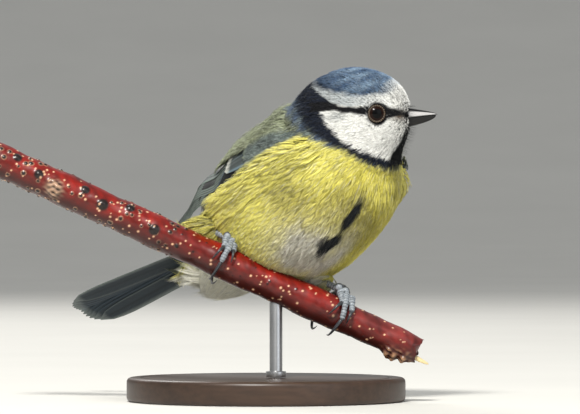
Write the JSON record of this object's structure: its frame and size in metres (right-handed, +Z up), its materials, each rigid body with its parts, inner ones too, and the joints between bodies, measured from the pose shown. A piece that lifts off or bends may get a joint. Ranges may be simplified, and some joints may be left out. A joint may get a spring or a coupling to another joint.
{
  "type": "blue tit",
  "caption": "Small still songbird gripping a cut length of stem, held over a round flat base by a rod.",
  "frame": {"origin": "middle of the model's bounding box at the underside of the base", "axes": "+Z up; the bill points to +X and the bird's right side faces -Y; the stem runs along X, falling towards +X"},
  "size_m": [0.1128, 0.0864, 0.0832],
  "materials": {
    "head_plumage": "soft short feathers",
    "neck_plumage": "soft feathers",
    "body_plumage": "soft loose feathers",
    "wing_plumage": "smooth feather vanes",
    "tail_plumage": "smooth feather vanes",
    "bill": "smooth horn",
    "eye": "wet gloss",
    "leg_skin": "scaled skin",
    "claw": "polished horn",
    "bark": "satin bark",
    "stand_steel": "brushed",
    "stand_wood": "dark satin stain"
  },
  "bodies": {
    "root": {"head": "head_plumage", "neck": "neck_plumage", "torso": "body_plumage", "bill_upper": "bill", "bill_lower": "bill", "tail": "tail_plumage", "eye_right": "eye", "eye_left": "eye", "wing_right": "wing_plumage", "wing_left": "wing_plumage", "leg_right": "leg_skin", "leg_left": "leg_skin", "perch": "bark", "stand_rod": "stand_steel", "stand_base": "stand_wood", "claw_right_inner": "claw", "claw_right_middle": "claw", "claw_right_outer": "claw", "claw_right_hind": "claw", "claw_left_inner": "claw", "claw_left_middle": "claw", "claw_left_outer": "claw", "claw_left_hind": "claw"}
  },
  "joints": []
}
